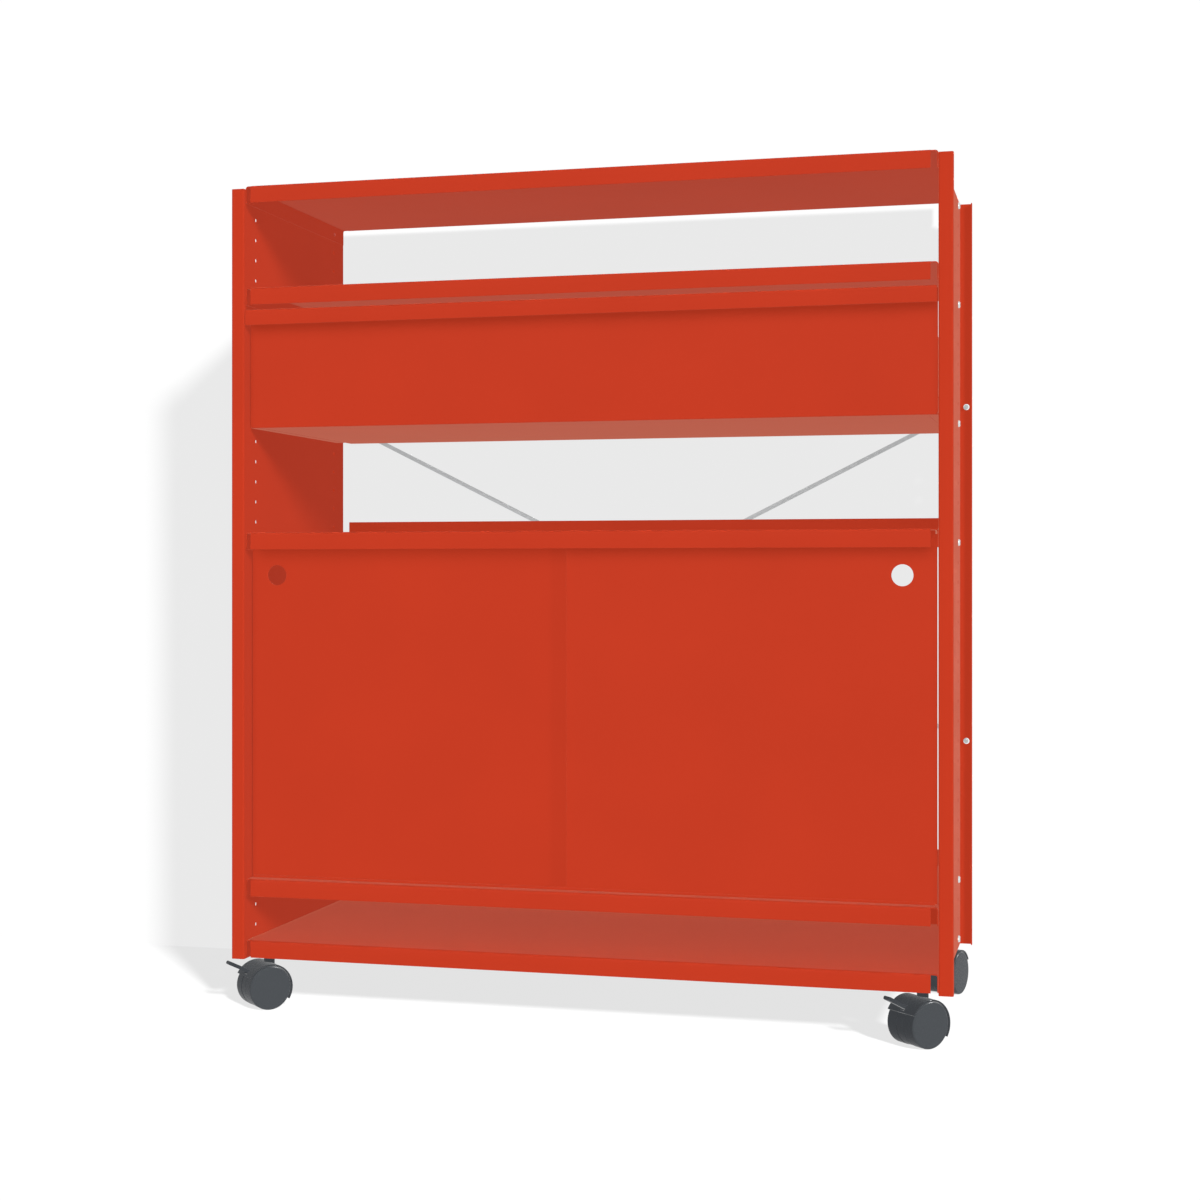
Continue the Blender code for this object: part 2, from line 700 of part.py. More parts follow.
def lever_pocket():
    """Cutters for the room in which the lever's hub and tongue turn."""
    room = LEVER_THICKNESS / 2 + RUNNING_GAP
    half = LEVER_HALF_WIDTH + RUNNING_GAP
    upper = lever_edge(LEVER_RISE, room, FENDER_OUTER)
    lower = lever_edge(LEVER_RISE - LEVER_TRAVEL, -room, FENDER_OUTER)
    hub = circle(LEVER_HUB_RADIUS + RUNNING_GAP, BOSS_SIDES, LEVER_PIVOT)
    return [prism(upper + lower[::-1], "X", -half, half), prism(hub, "X", -half, half)]


def caster_hood(name, braked, swivel):
    """A web between the wheels with the axle, a boss for the stem, and one roof over both wheels."""
    core_half = CORE_WIDTH / 2
    core_end = core_half - CORE_EDGE
    roof_root = CORE_RADIUS - CORE_OVERLAP
    web = prism(circle(CORE_RADIUS, WHEEL_SIDES), "X", -core_end, core_end)
    axle_half = WHEEL_END - WHEEL_CAP - RUNNING_GAP
    axle = prism(circle(AXLE_RADIUS, BOSS_SIDES), "X", -axle_half, axle_half)
    profile = [
        (-WHEEL_END, FENDER_INNER),
        (-core_half, FENDER_INNER),
        (-core_half, roof_root),
        (core_half, roof_root),
        (core_half, FENDER_INNER),
        (WHEEL_END, FENDER_INNER),
        (WHEEL_END, FENDER_OUTER),
        (-WHEEL_END, FENDER_OUTER),
    ]
    sweep = FENDER_FRONT_ANGLE - FENDER_BACK_ANGLE
    roof = swept_ring(profile, FENDER_STEPS, FENDER_BACK_ANGLE, sweep)
    boss = prism(circle(BOSS_RADIUS, BOSS_SIDES, (0.0, CASTER_TRAIL)), "Z", BOSS_ROOT, HOOD_TOP)
    hood = combine(web, [axle, roof, boss], "UNION")
    bore = circle(STEM_RADIUS + RUNNING_GAP, BOSS_SIDES, (0.0, CASTER_TRAIL))
    stem_end = HOOD_TOP + RUNNING_GAP - STEM_LENGTH
    cutters = [prism(bore, "Z", stem_end - RUNNING_GAP, HOOD_TOP + STEM_PLATE_HEIGHT)]
    if braked:
        cutters += lever_pocket()
    hood = combine(hood, cutters, "DIFFERENCE")
    if braked:
        pin_end = core_end - CORE_EDGE
        pin = prism(circle(LEVER_PIN_RADIUS, LEVER_PIN_SIDES, LEVER_PIVOT), "X", -pin_end, pin_end)
        hood = combine(hood, [pin], "UNION")
    bmesh.ops.translate(hood, verts=hood.verts, vec=(0.0, -CASTER_TRAIL, WHEEL_RADIUS))
    add_object(f"{name}_caster_hood", hood, DARK_PLASTIC, swivel)


def caster_wheel(name, side, swivel):
    """One of the twin wheels: a tread with eased edges, a flat outer face and a blind bore for the axle."""
    bore = AXLE_RADIUS + RUNNING_GAP
    profile = [
        (0.0, WHEEL_END - WHEEL_CAP),
        (bore, WHEEL_END - WHEEL_CAP),
        (bore, WHEEL_START),
        (WHEEL_RADIUS - WHEEL_INNER_EDGE, WHEEL_START),
        (WHEEL_RADIUS, WHEEL_START + WHEEL_INNER_EDGE),
        (WHEEL_RADIUS, WHEEL_END - WHEEL_OUTER_EDGE),
        (WHEEL_RADIUS - WHEEL_OUTER_EDGE, WHEEL_END),
        (0.0, WHEEL_END),
    ]
    wheel = turned(profile, WHEEL_SIDES)
    place = (0.0, -CASTER_TRAIL, WHEEL_RADIUS)
    piece = add_object(f"{name}_caster_{side}_wheel", wheel, DARK_PLASTIC, swivel, place)
    piece.rotation_euler = (0.0, SIDES[side] * pi / 2, 0.0)


def brake_lever(name, swivel):
    """A straight tongue on a hub that turns on the hood's pin, in a pocket of the web and the roof."""
    half = LEVER_THICKNESS / 2
    upper = lever_edge(LEVER_RISE, half, LEVER_REACH.length)
    lower = lever_edge(LEVER_RISE, -half, LEVER_REACH.length)
    tongue = prism(upper + lower[::-1], "X", LEVER_EDGE - LEVER_HALF_WIDTH, LEVER_HALF_WIDTH - LEVER_EDGE)
    hub = circle(LEVER_HUB_RADIUS, BOSS_SIDES, LEVER_PIVOT)
    lever = combine(prism(hub, "X", -LEVER_HALF_WIDTH, LEVER_HALF_WIDTH), [tongue], "UNION")
    bore = circle(LEVER_PIN_RADIUS + RUNNING_GAP, LEVER_PIN_SIDES, LEVER_PIVOT)
    lever = combine(lever, [prism(bore, "X", -CORE_WIDTH, CORE_WIDTH)], "DIFFERENCE")
    bmesh.ops.translate(lever, verts=lever.verts, vec=(0.0, LEVER_PIVOT_OUT, -LEVER_PIVOT_UP))
    place = (0.0, -CASTER_TRAIL - LEVER_PIVOT_OUT, WHEEL_RADIUS + LEVER_PIVOT_UP)
    add_object(f"{name}_brake_lever", lever, DARK_PLASTIC, swivel, place)


def caster(name, place, turn, parent):
    braked = name in BRAKED
    caster_stem(name, place, parent)
    swivel = add_empty(f"{name}_swivel", parent, (*place, 0.0), turn)
    caster_hood(name, braked, swivel)
    for side in SIDES:
        caster_wheel(name, side, swivel)
    if braked:
        brake_lever(name, swivel)


# Assembly
def clear_scene():
    for piece in list(bpy.data.objects):
        bpy.data.objects.remove(piece, do_unlink=True)


def centre_on_footprint(unit):
    """Move the whole so that the middle of its footprint is at the origin."""
    graph = bpy.context.evaluated_depsgraph_get()
    corners = []
    for piece in bpy.data.objects:
        if piece.type == "EMPTY":
            continue
        evaluated = piece.evaluated_get(graph)
        mesh = evaluated.to_mesh()
        corners += [evaluated.matrix_world @ vert.co for vert in mesh.vertices]
        evaluated.to_mesh_clear()
    middle_x = (min(corner.x for corner in corners) + max(corner.x for corner in corners)) / 2
    middle_y = (min(corner.y for corner in corners) + max(corner.y for corner in corners)) / 2
    unit.location = (-middle_x, -middle_y, 0.0)


def shade_round_pieces():
    """Smooth shading on curved faces, with sharp edges kept."""
    for piece in bpy.data.objects:
        if piece.type == "MESH":
            piece.data.shade_smooth()
            piece.data.set_sharp_from_angle(angle=SMOOTH_BELOW)


def build_unit():
    clear_scene()
    unit = add_empty("unit", None, (0.0, 0.0, 0.0))
    for side in SIDES:
        side_panel(side, unit)
    for name in SHELF_LEVELS:
        shelf(name, unit)
    front_row, rear_row = HOLE_ROWS_Y
    for side in SIDES:
        for name, level in SHELF_LEVELS.items():
            screw(f"{side}_{name}_front_screw", side, level, front_row, unit)
            screw(f"{side}_{name}_rear_screw", side, level, rear_row, unit)
        screw(f"{side}_drawer_rail_screw", side, RAIL_LEVEL, rear_row, unit)
    drawer = add_empty("drawer", unit, (0.0, 0.0, 0.0))
    drawer_front(drawer)
    drawer_tray(drawer)
    for side in SIDES:
        drawer_rails(side, unit, drawer)
    for end in TRACK_UP:
        door_track(end, unit)
    for side in SIDES:
        sliding_door(side, add_empty(f"{side}_door_carrier", unit, (0.0, 0.0, 0.0)))
    brace_rod("front_brace_rod", "left", 0.0, unit)
    brace_rod("rear_brace_rod", "right", ROD_DIAMETER + ROD_CROSSING_GAP, unit)
    for name, (place, turn) in CASTERS.items():
        caster(name, place, turn, unit)
    centre_on_footprint(unit)
    shade_round_pieces()


build_unit()
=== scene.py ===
"""Looks of the shelving unit: finishes, fine pieces, floor, light and the photograph's camera. Metres, +Z up."""
import json
from math import atan2, cos, pi, radians, sin

import bmesh
import bpy
from mathutils import Matrix, Vector

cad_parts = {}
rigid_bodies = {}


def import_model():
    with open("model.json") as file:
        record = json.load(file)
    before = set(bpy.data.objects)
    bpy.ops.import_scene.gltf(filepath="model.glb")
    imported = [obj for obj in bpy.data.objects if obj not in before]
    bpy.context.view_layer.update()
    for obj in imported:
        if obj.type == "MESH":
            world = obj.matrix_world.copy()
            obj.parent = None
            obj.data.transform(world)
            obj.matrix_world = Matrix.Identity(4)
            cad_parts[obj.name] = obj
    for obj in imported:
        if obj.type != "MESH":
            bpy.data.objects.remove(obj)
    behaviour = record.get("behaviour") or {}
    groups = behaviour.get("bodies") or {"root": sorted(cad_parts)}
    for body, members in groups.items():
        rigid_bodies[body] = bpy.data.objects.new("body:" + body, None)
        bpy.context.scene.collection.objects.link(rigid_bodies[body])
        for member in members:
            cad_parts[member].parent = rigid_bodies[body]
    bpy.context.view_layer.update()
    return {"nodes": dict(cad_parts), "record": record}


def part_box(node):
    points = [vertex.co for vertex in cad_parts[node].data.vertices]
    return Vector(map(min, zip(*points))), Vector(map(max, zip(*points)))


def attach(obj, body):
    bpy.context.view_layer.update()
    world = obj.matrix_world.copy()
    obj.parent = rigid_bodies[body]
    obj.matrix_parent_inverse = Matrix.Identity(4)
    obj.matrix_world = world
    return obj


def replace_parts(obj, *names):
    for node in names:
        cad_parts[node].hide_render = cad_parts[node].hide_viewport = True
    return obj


for leftover in list(bpy.data.objects):
    bpy.data.objects.remove(leftover, do_unlink=True)
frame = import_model()

# Camera: the eye from the middle of the unit, its front plane and the foot of the side panels
EYE_RIGHT = 0.7202
EYE_BEFORE_FRONT = 2.6578
EYE_ABOVE_PANEL_FOOT = 0.5665
CAMERA_TURN = radians(14.438)
LENS_MM = 58.71
SENSOR_MM = 36.0
IMAGE_PIXELS = 1200
HORIZON_ABOVE_CENTRE_PIXELS = 25.7

# Light: an even room, a broad front light, a smaller side light on the panels and casters, and a little fill
ROOM_STRENGTH = 0.66
FRONT_LIGHT_DIRECTION = (0.0, 1.0, -0.5)
FRONT_LIGHT_SOFTNESS = radians(55.0)
FRONT_LIGHT_STRENGTH = 0.98
SIDE_LIGHT_DIRECTION = (-1.2, 1.0, -0.59)
SIDE_LIGHT_SOFTNESS = radians(12.0)
SIDE_LIGHT_STRENGTH = 0.92
PANEL_FILL_STRENGTH = 0.38
RIM_LIGHT_DIRECTION = (-0.61, -0.31, -0.73)
RIM_LIGHT_SOFTNESS = radians(8.0)
RIM_LIGHT_STRENGTH = 24.0
REAR_DOOR_FRONT_STRENGTH = 0.80
DOOR_LIGHT_DIRECTION = (-6.5, 1.0, 0.0)
DOOR_LIGHT_SOFTNESS = radians(3.0)
DOOR_LIGHT_STRENGTH = 1.04
FILL_SOFTNESS = radians(5.0)
FILL_STRENGTHS = {
    "back": ((0.0, -1.0, 0.0), 0.20),
    "left": ((1.0, 0.0, 0.0), 0.10),
    "right": ((-1.0, 0.0, 0.0), 0.26),
}

# Stage
WALL_BEHIND_FRONT = 0.432
STAGE_REACH = 30.0
STAGE_SUN_DIRECTION = (-0.78, 1.0, -0.615)
STAGE_SUN_SOFTNESS = radians(5.0)
STAGE_SUN_STRENGTH = 34.0
FLOOR_PAINT = 0.055
FLOOR_LIFT = 0.73
WALL_PAINT = 0.025
WALL_LIFT = 0.80

# Finishes, as linear colours, with painted light on the wheels' outer faces and painted shade in the screw sockets
RED = (0.605, 0.042, 0.012)
DARK_PLASTIC = (0.055, 0.060, 0.067)
# painted light: the wheels' outer faces are paler than the tread for the light they catch
WHEEL_FACE_PAINTED_LIGHT = (0.075, 0.082, 0.090)
ZINC = (0.74, 0.74, 0.72)
# painted shade: the screw sockets are darkened where shade falls in them
SOCKET_PAINTED_SHADE = (0.06, 0.06, 0.06)
ROD_GREY = (0.60, 0.605, 0.61)

# Softened edges of the sheet pieces
WELD_DISTANCE = 0.00001
EDGE_RADIUS = 0.0004
EDGE_ANGLE = radians(40.0)

# Sizes repeated from the part
SCREW_HEAD_RADIUS = 0.005
SCREW_HEAD_HEIGHT = 0.003
SCREW_SHANK_RADIUS = 0.0024
SCREW_SHANK_LENGTH = 0.0041
SCREW_SOCKET_RADIUS = 0.002
SCREW_SOCKET_DEPTH = 0.0018
ROD_RADIUS = 0.00325
ROD_HOOK = 0.012
ROD_HOOK_BEND = 0.006
CASTER_TURNS = {
    "front_left": radians(-43.0),
    "front_right": radians(-43.0),
    "rear_left": radians(163.0),
    "rear_right": radians(163.0),
}
CASTER_TRAIL = 0.009
WHEEL_RADIUS = 0.032
WHEEL_START = 0.0083
WHEEL_END = 0.027
WHEEL_OUTER_EDGE = 0.003
WHEEL_INNER_EDGE = 0.0004
FENDER_INNER = 0.0328
FENDER_OUTER = 0.035
FENDER_BACK_ANGLE = radians(-32.0)
FENDER_FRONT_ANGLE = radians(151.0)
CORE_RADIUS = 0.0316
CORE_HALF = 0.008
CORE_EDGE = 0.001
CORE_OVERLAP = 0.004
BOSS_RADIUS = 0.008
BOSS_ROOT = 0.005
HOOD_TOP = 0.0659
LEVER_PIVOT = Vector((-0.0165, 0.0195))
LEVER_TIP = Vector((-0.0565, 0.0398))
LEVER_TRAVEL = radians(12.0)
LEVER_THICKNESS = 0.0052
LEVER_HALF_WIDTH = 0.005
LEVER_HUB_RADIUS = 0.0045
RUNNING_GAP = 0.0003

BRAKED = ("front_left", "front_right")
PANEL_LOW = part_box("left_panel")[0]
PANEL_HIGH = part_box("right_panel")[1]
MIDDLE_X = (PANEL_LOW.x + PANEL_HIGH.x) / 2


# Shader helpers
class Shader:
    """One procedural material: a Principled BSDF with nodes added by name."""

    def __init__(self, name):
        self.material = bpy.data.materials.new(name)
        self.material.use_nodes = True
        self.tree = self.material.node_tree
        self.surface = self.tree.nodes["Principled BSDF"]
        self.place = self.add("ShaderNodeTexCoord").outputs["Object"]

    def add(self, kind, **settings):
        node = self.tree.nodes.new(kind)
        for key, value in settings.items():
            setattr(node, key, value)
        return node

    def link(self, source, target):
        self.tree.links.new(source, target)

    def fixed(self, **values):
        """Set sockets that are the same all over, such as Metallic."""
        for key, value in values.items():
            self.surface.inputs[key.replace("_", " ")].default_value = value

    def stretched(self, scale):
        """Object coordinates with each axis scaled by itself."""
        mapping = self.add("ShaderNodeMapping")
        mapping.inputs["Scale"].default_value = scale
        self.link(self.place, mapping.inputs["Vector"])
        return mapping.outputs["Vector"]

    def noise(self, scale, detail=2.0, place=None):
        node = self.add("ShaderNodeTexNoise")
        node.inputs["Scale"].default_value = scale
        node.inputs["Detail"].default_value = detail
        self.link(place or self.place, node.inputs["Vector"])
        return node.outputs["Fac"]

    def along_x(self, start, end):
        """Nothing up to a distance from the middle along X, and one from a further distance on."""
        parts = self.add("ShaderNodeSeparateXYZ")
        self.link(self.place, parts.inputs["Vector"])
        distance = self.add("ShaderNodeMath", operation="ABSOLUTE")
        self.link(parts.outputs["X"], distance.inputs[0])
        share = self.add("ShaderNodeMapRange")
        share.inputs["From Min"].default_value = start
        share.inputs["From Max"].default_value = end
        self.link(distance.outputs[0], share.inputs["Value"])
        return share.outputs["Result"]

    def from_axis(self, start, end):
        """Nothing up to a distance from the X axis, and one from a further distance on."""
        length = self.add("ShaderNodeVectorMath", operation="LENGTH")
        self.link(self.stretched((0.0, 1.0, 1.0)), length.inputs[0])
        share = self.add("ShaderNodeMapRange")
        share.inputs["From Min"].default_value = start
        share.inputs["From Max"].default_value = end
        self.link(length.outputs["Value"], share.inputs["Value"])
        return share.outputs["Result"]

    def between(self, value, low, high):
        """A number that follows a noise between two values."""
        node = self.add("ShaderNodeMapRange")
        node.inputs["From Min"].default_value = 0.3
        node.inputs["From Max"].default_value = 0.7
        node.inputs["To Min"].default_value = low
        node.inputs["To Max"].default_value = high
        self.link(value, node.inputs["Value"])
        return node.outputs["Result"]

    def tint(self, value, dark, light):
        """A colour that follows a noise between two colours."""
        node = self.add("ShaderNodeValToRGB")
        node.color_ramp.elements[0].position = 0.3
        node.color_ramp.elements[0].color = (*dark, 1.0)
        node.color_ramp.elements[1].position = 0.7
        node.color_ramp.elements[1].color = (*light, 1.0)
        self.link(value, node.inputs["Fac"])
        return node.outputs["Color"]

    def bump(self, height, strength, distance):
        node = self.add("ShaderNodeBump")
        node.inputs["Strength"].default_value = strength
        node.inputs["Distance"].default_value = distance
        self.link(height, node.inputs["Height"])
        self.link(node.outputs["Normal"], self.surface.inputs["Normal"])

    def colour(self, value, colour, spread):
        dark = tuple(channel * (1.0 - spread) for channel in colour)
        light = tuple(min(1.0, channel * (1.0 + spread)) for channel in colour)
        self.link(self.tint(value, dark, light), self.surface.inputs["Base Color"])

    def roughness(self, value, low, high):
        self.link(self.between(value, low, high), self.surface.inputs["Roughness"])


def powder_coat():
    shader = Shader("red_powder_coat_finish")
    shader.fixed(Specular_IOR_Level=0.0, Coat_Weight=0.20, Coat_Roughness=0.60)
    shader.fixed(Sheen_Weight=0.80, Sheen_Roughness=0.20, Sheen_Tint=(1.0, 0.42, 0.28, 1.0))
    shader.colour(shader.noise(6.0, 4.0), RED, 0.02)
    shader.roughness(shader.noise(90.0), 0.45, 0.55)
    shader.bump(shader.noise(1100.0, 1.0), 0.06, 0.0003)
    return shader.material


def grained_plastic(name):
    shader = Shader(name)
    shader.fixed(Specular_IOR_Level=0.04)
    shader.roughness(shader.noise(400.0), 0.20, 0.32)
    shader.bump(shader.noise(2600.0, 1.0), 0.04, 0.0002)
    return shader


def hood_plastic():
    shader = grained_plastic("caster_hood_finish")
    shader.colour(shader.noise(60.0, 3.0), DARK_PLASTIC, 0.06)
    return shader.material


def wheel_plastic():
    """A tread as dark as the hood, and an outer face painted paler, as painted light for the light that face
    catches.
    """
    shader = grained_plastic("caster_wheel_plastic_and_painted_light")
    # painted light: the outer face is tinted paler than the tread
    outward = shader.along_x(WHEEL_END - WHEEL_OUTER_EDGE, WHEEL_END - WHEEL_OUTER_EDGE / 2)
    shader.link(shader.tint(outward, DARK_PLASTIC, WHEEL_FACE_PAINTED_LIGHT), shader.surface.inputs["Base Color"])
    return shader.material


def plated_metal(name, colour, metallic, low, high):
    shader = Shader(name)
    shader.fixed(Metallic=metallic)
    grain = shader.noise(1.0, 3.0, shader.stretched((900.0, 900.0, 900.0)))
    shader.colour(shader.noise(150.0), colour, 0.06)
    shader.roughness(grain, low, high)
    shader.bump(grain, 0.10, 0.0001)
    return shader.material


def screw_plate():
    """Zinc plate, darkened in the socket as painted shade, with the end that comes through the shelf coloured the
    powder coat's red.
    """
    shader = Shader("screw_finish_with_painted_socket_shade")
    shader.fixed(Metallic=1.0)
    grain = shader.noise(900.0, 3.0)
    # painted shade: the socket is tinted dark, fading to zinc towards its rim
    head = shader.tint(shader.from_axis(SCREW_SOCKET_RADIUS, SCREW_SOCKET_RADIUS * 1.6), SOCKET_PAINTED_SHADE, ZINC)
    end = shader.tint(shader.along_x(SCREW_HEAD_HEIGHT, SCREW_SHANK_LENGTH), (0.0, 0.0, 0.0), (1.0, 1.0, 1.0))
    blend = shader.add("ShaderNodeMix", data_type="RGBA")
    shader.link(end, blend.inputs["Factor"])
    shader.link(head, blend.inputs[6])
    blend.inputs[7].default_value = (*RED, 1.0)
    shader.link(blend.outputs[2], shader.surface.inputs["Base Color"])
    shader.roughness(grain, 0.25, 0.40)
    shader.bump(grain, 0.10, 0.0001)
    return shader.material


SCREW_FINISH = screw_plate()
FINISHES = {
    "red_powder_coat": powder_coat(),
    "caster_wheel_plastic": wheel_plastic(),
    "caster_hood_plastic": hood_plastic(),
    "zinc_steel": plated_metal("zinc_finish", ZINC, 1.0, 0.25, 0.40),
    "brace_steel": plated_metal("brace_finish", ROD_GREY, 0.0, 0.50, 0.60),
}


def lit_by_the_room(piece):
    """Let the room's light and its reflection reach the other pieces past this one, without a red cast."""
    piece.visible_diffuse = False
    piece.visible_glossy = False


# Softened CAD sheets
def welded_group():
    """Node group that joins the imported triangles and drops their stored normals."""
    group = bpy.data.node_groups.new("welded", "GeometryNodeTree")
    group.interface.new_socket("Geometry", in_out="INPUT", socket_type="NodeSocketGeometry")
    group.interface.new_socket("Geometry", in_out="OUTPUT", socket_type="NodeSocketGeometry")
    entry = group.nodes.new("NodeGroupInput")
    leave = group.nodes.new("NodeGroupOutput")
    plain = group.nodes.new("GeometryNodeRemoveAttribute")
    plain.inputs["Name"].default_value = "custom_normal"
    merge = group.nodes.new("GeometryNodeMergeByDistance")
    merge.inputs["Distance"].default_value = WELD_DISTANCE
    group.links.new(entry.outputs[0], plain.inputs["Geometry"])
    group.links.new(plain.outputs["Geometry"], merge.inputs["Geometry"])
    group.links.new(merge.outputs["Geometry"], leave.inputs[0])
    return group


def smoothed_group():
    """Node group that shades smooth across small angles and keeps the others sharp."""
    group = bpy.data.node_groups.new("smoothed", "GeometryNodeTree")
    group.interface.new_socket("Geometry", in_out="INPUT", socket_type="NodeSocketGeometry")
    group.interface.new_socket("Geometry", in_out="OUTPUT", socket_type="NodeSocketGeometry")
    entry = group.nodes.new("NodeGroupInput")
    leave = group.nodes.new("NodeGroupOutput")
    faces = group.nodes.new("GeometryNodeSetShadeSmooth")
    faces.domain = "FACE"
    edges = group.nodes.new("GeometryNodeSetShadeSmooth")
    edges.domain = "EDGE"
    edges.inputs["Shade Smooth"].default_value = False
    angle = group.nodes.new("GeometryNodeInputMeshEdgeAngle")
    large = group.nodes.new("FunctionNodeCompare")
    large.operation = "GREATER_THAN"
    large.inputs["B"].default_value = EDGE_ANGLE
    group.links.new(angle.outputs["Unsigned Angle"], large.inputs["A"])
    group.links.new(entry.outputs[0], faces.inputs["Geometry"])
    group.links.new(faces.outputs["Geometry"], edges.inputs["Geometry"])
    group.links.new(large.outputs["Result"], edges.inputs["Selection"])
    group.links.new(edges.outputs["Geometry"], leave.inputs[0])
    return group


def dress_frame():
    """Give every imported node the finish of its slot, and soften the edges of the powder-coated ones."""
    welded = welded_group()
    smoothed = smoothed_group()
    for row in frame["record"]["subparts"]:
        node = frame["nodes"][row["node"]]
        node.material_slots[0].material = FINISHES[row["material_slot"]]
        lit_by_the_room(node)
        if row["material_slot"] != "red_powder_coat":
            continue
        node.modifiers.new("welded", "NODES").node_group = welded
        soft = node.modifiers.new("soft_edges", "BEVEL")
        soft.width = EDGE_RADIUS
        soft.segments = 2
        soft.limit_method = "ANGLE"
        soft.angle_limit = EDGE_ANGLE
        node.modifiers.new("smoothed", "NODES").node_group = smoothed
        node.modifiers.new("even_faces", "WEIGHTED_NORMAL").keep_sharp = True


# Mesh helpers
def eased(points, radius, steps=4, closed=False):
    """A polyline with each corner rounded by up to a radius."""
    rounded = []
    for index, point in enumerate(points):
        here = Vector(point)
        if not closed and index in (0, len(points) - 1):
            rounded.append(here)
            continue
        before = Vector(points[index - 1]) - here
        after = Vector(points[(index + 1) % len(points)]) - here
        start = here + before.normalized() * min(radius, before.length / 2)
        end = here + after.normalized() * min(radius, after.length / 2)
        for step in range(steps + 1):
            share = step / steps
            rounded.append(start.lerp(here, share).lerp(here.lerp(end, share), share))
    return rounded


def turn_about_x(mesh, profile, steps, start=0.0, sweep=2 * pi, closed=True):
    """Add a turned (x, r) profile: a whole ring, or an arc with closed ends."""
    whole = sweep >= 2 * pi
    count = steps if whole else steps + 1
    rings = []
    for index in range(count):
        angle = start + sweep * index / steps
        rings.append([mesh.verts.new((x, r * cos(angle), r * sin(angle))) for x, r in profile])
    spans = len(profile) if closed else len(profile) - 1
    for index in range(steps):
        near = rings[index]
        far = rings[(index + 1) % count]
        for corner in range(spans):
            following = (corner + 1) % len(profile)
            mesh.faces.new((near[corner], near[following], far[following], far[corner]))
    if not whole:
        mesh.faces.new(rings[0])
        mesh.faces.new(rings[-1])


def add_prism(mesh, outline, low, high):
    """Add an extrusion of a (y, z) outline along X."""
    ends = [[mesh.verts.new((x, y, z)) for y, z in outline] for x in (low, high)]
    mesh.faces.new(ends[0])
    mesh.faces.new(ends[1])
    for index in range(len(outline)):
        following = (index + 1) % len(outline)
        mesh.faces.new((ends[0][index], ends[0][following], ends[1][following], ends[1][index]))


def closed_body(mesh):
    """Join the seams of a mesh and turn its faces outward."""
    bmesh.ops.remove_doubles(mesh, verts=mesh.verts, dist=WELD_DISTANCE / 10)
    bmesh.ops.recalc_face_normals(mesh, faces=mesh.faces)
    return mesh


def combined(mesh, others, operation):
    """Join or cut a mesh with others."""
    pieces = []
    for source in [mesh] + others:
        piece = bpy.data.objects.new("combined", bpy.data.meshes.new("combined"))
        closed_body(source).to_mesh(piece.data)
        source.free()
        bpy.context.scene.collection.objects.link(piece)
        pieces.append(piece)
    for tool in pieces[1:]:
        step = pieces[0].modifiers.new("step", "BOOLEAN")
        step.operation = operation
        step.solver = "EXACT"
        step.object = tool
    result = bmesh.new()
    result.from_object(pieces[0], bpy.context.evaluated_depsgraph_get())
    for piece in pieces:
        data = piece.data
        bpy.data.objects.remove(piece)
        bpy.data.meshes.remove(data)
    return result


def ring(radius, steps, centre=(0.0, 0.0)):
    angles = [2 * pi * step / steps for step in range(steps)]
    return [(centre[0] + radius * cos(angle), centre[1] + radius * sin(angle)) for angle in angles]


def finished(name, mesh, slot, body, smooth_below=EDGE_ANGLE, finish=None):
    """Make an object of a mesh, with the finish of its slot or one of its own, riding on a body."""
    data = bpy.data.meshes.new(name)
    closed_body(mesh).to_mesh(data)
    mesh.free()
    data.materials.append(finish or FINISHES[slot])
    data.shade_smooth()
    data.set_sharp_from_angle(angle=smooth_below)
    piece = bpy.data.objects.new(name, data)
    lit_by_the_room(piece)
    bpy.context.scene.collection.objects.link(piece)
    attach(piece, body)
    return piece


def even_faces(piece, edge_radius=0.0):
    """Keep the shading of flat faces flat beside rounded edges."""
    if edge_radius:
        soft = piece.modifiers.new("soft_edges", "BEVEL")
        soft.width = edge_radius
        soft.segments = 3
        soft.limit_method = "ANGLE"
        soft.angle_limit = EDGE_ANGLE
    piece.modifiers.new("even_faces", "WEIGHTED_NORMAL").keep_sharp = True


# Screws
def screw_mesh():
    """A button-head screw with a hex socket, turned about X with its seat at x = 0."""
    mesh = bmesh.new()
    crown = 12
    dome = []
    for step in range(crown + 1):
        angle = pi / 2 * step / crown
        height = 0.25 * SCREW_HEAD_HEIGHT + 0.75 * SCREW_HEAD_HEIGHT * sin(angle)
        radius = SCREW_SOCKET_RADIUS * 1.3 + (SCREW_HEAD_RADIUS - SCREW_SOCKET_RADIUS * 1.3) * cos(angle)
        dome.append((height, radius))
    profile = [(-SCREW_SHANK_LENGTH, 0.0), (-SCREW_SHANK_LENGTH, SCREW_SHANK_RADIUS * 0.75)]
    profile += [(-SCREW_SHANK_LENGTH + SCREW_SHANK_RADIUS * 0.3, SCREW_SHANK_RADIUS)]
    profile += [(0.0, SCREW_SHANK_RADIUS), (0.0, SCREW_HEAD_RADIUS)] + dome
    turn_about_x(mesh, profile, 36, closed=False)
    rim = [(SCREW_HEAD_HEIGHT, y, z) for y, z in ring(SCREW_SOCKET_RADIUS * 1.3, 36)]
    socket = ring(SCREW_SOCKET_RADIUS, 6)
    mouth = []
    for index in range(36):
        first = Vector(socket[index // 6])
        second = Vector(socket[(index // 6 + 1) % 6])
        mouth.append((SCREW_HEAD_HEIGHT, *first.lerp(second, index % 6 / 6)))
    floor = [(SCREW_HEAD_HEIGHT - SCREW_SOCKET_DEPTH, y, z) for _, y, z in mouth]
    loops = [[mesh.verts.new(point) for point in loop] for loop in (rim, mouth, floor)]
    for outer, inner in zip(loops, loops[1:]):
        for index in range(36):
            following = (index + 1) % 36
            mesh.faces.new((outer[index], outer[following], inner[following], inner[index]))
    mesh.faces.new(loops[2])
    return mesh


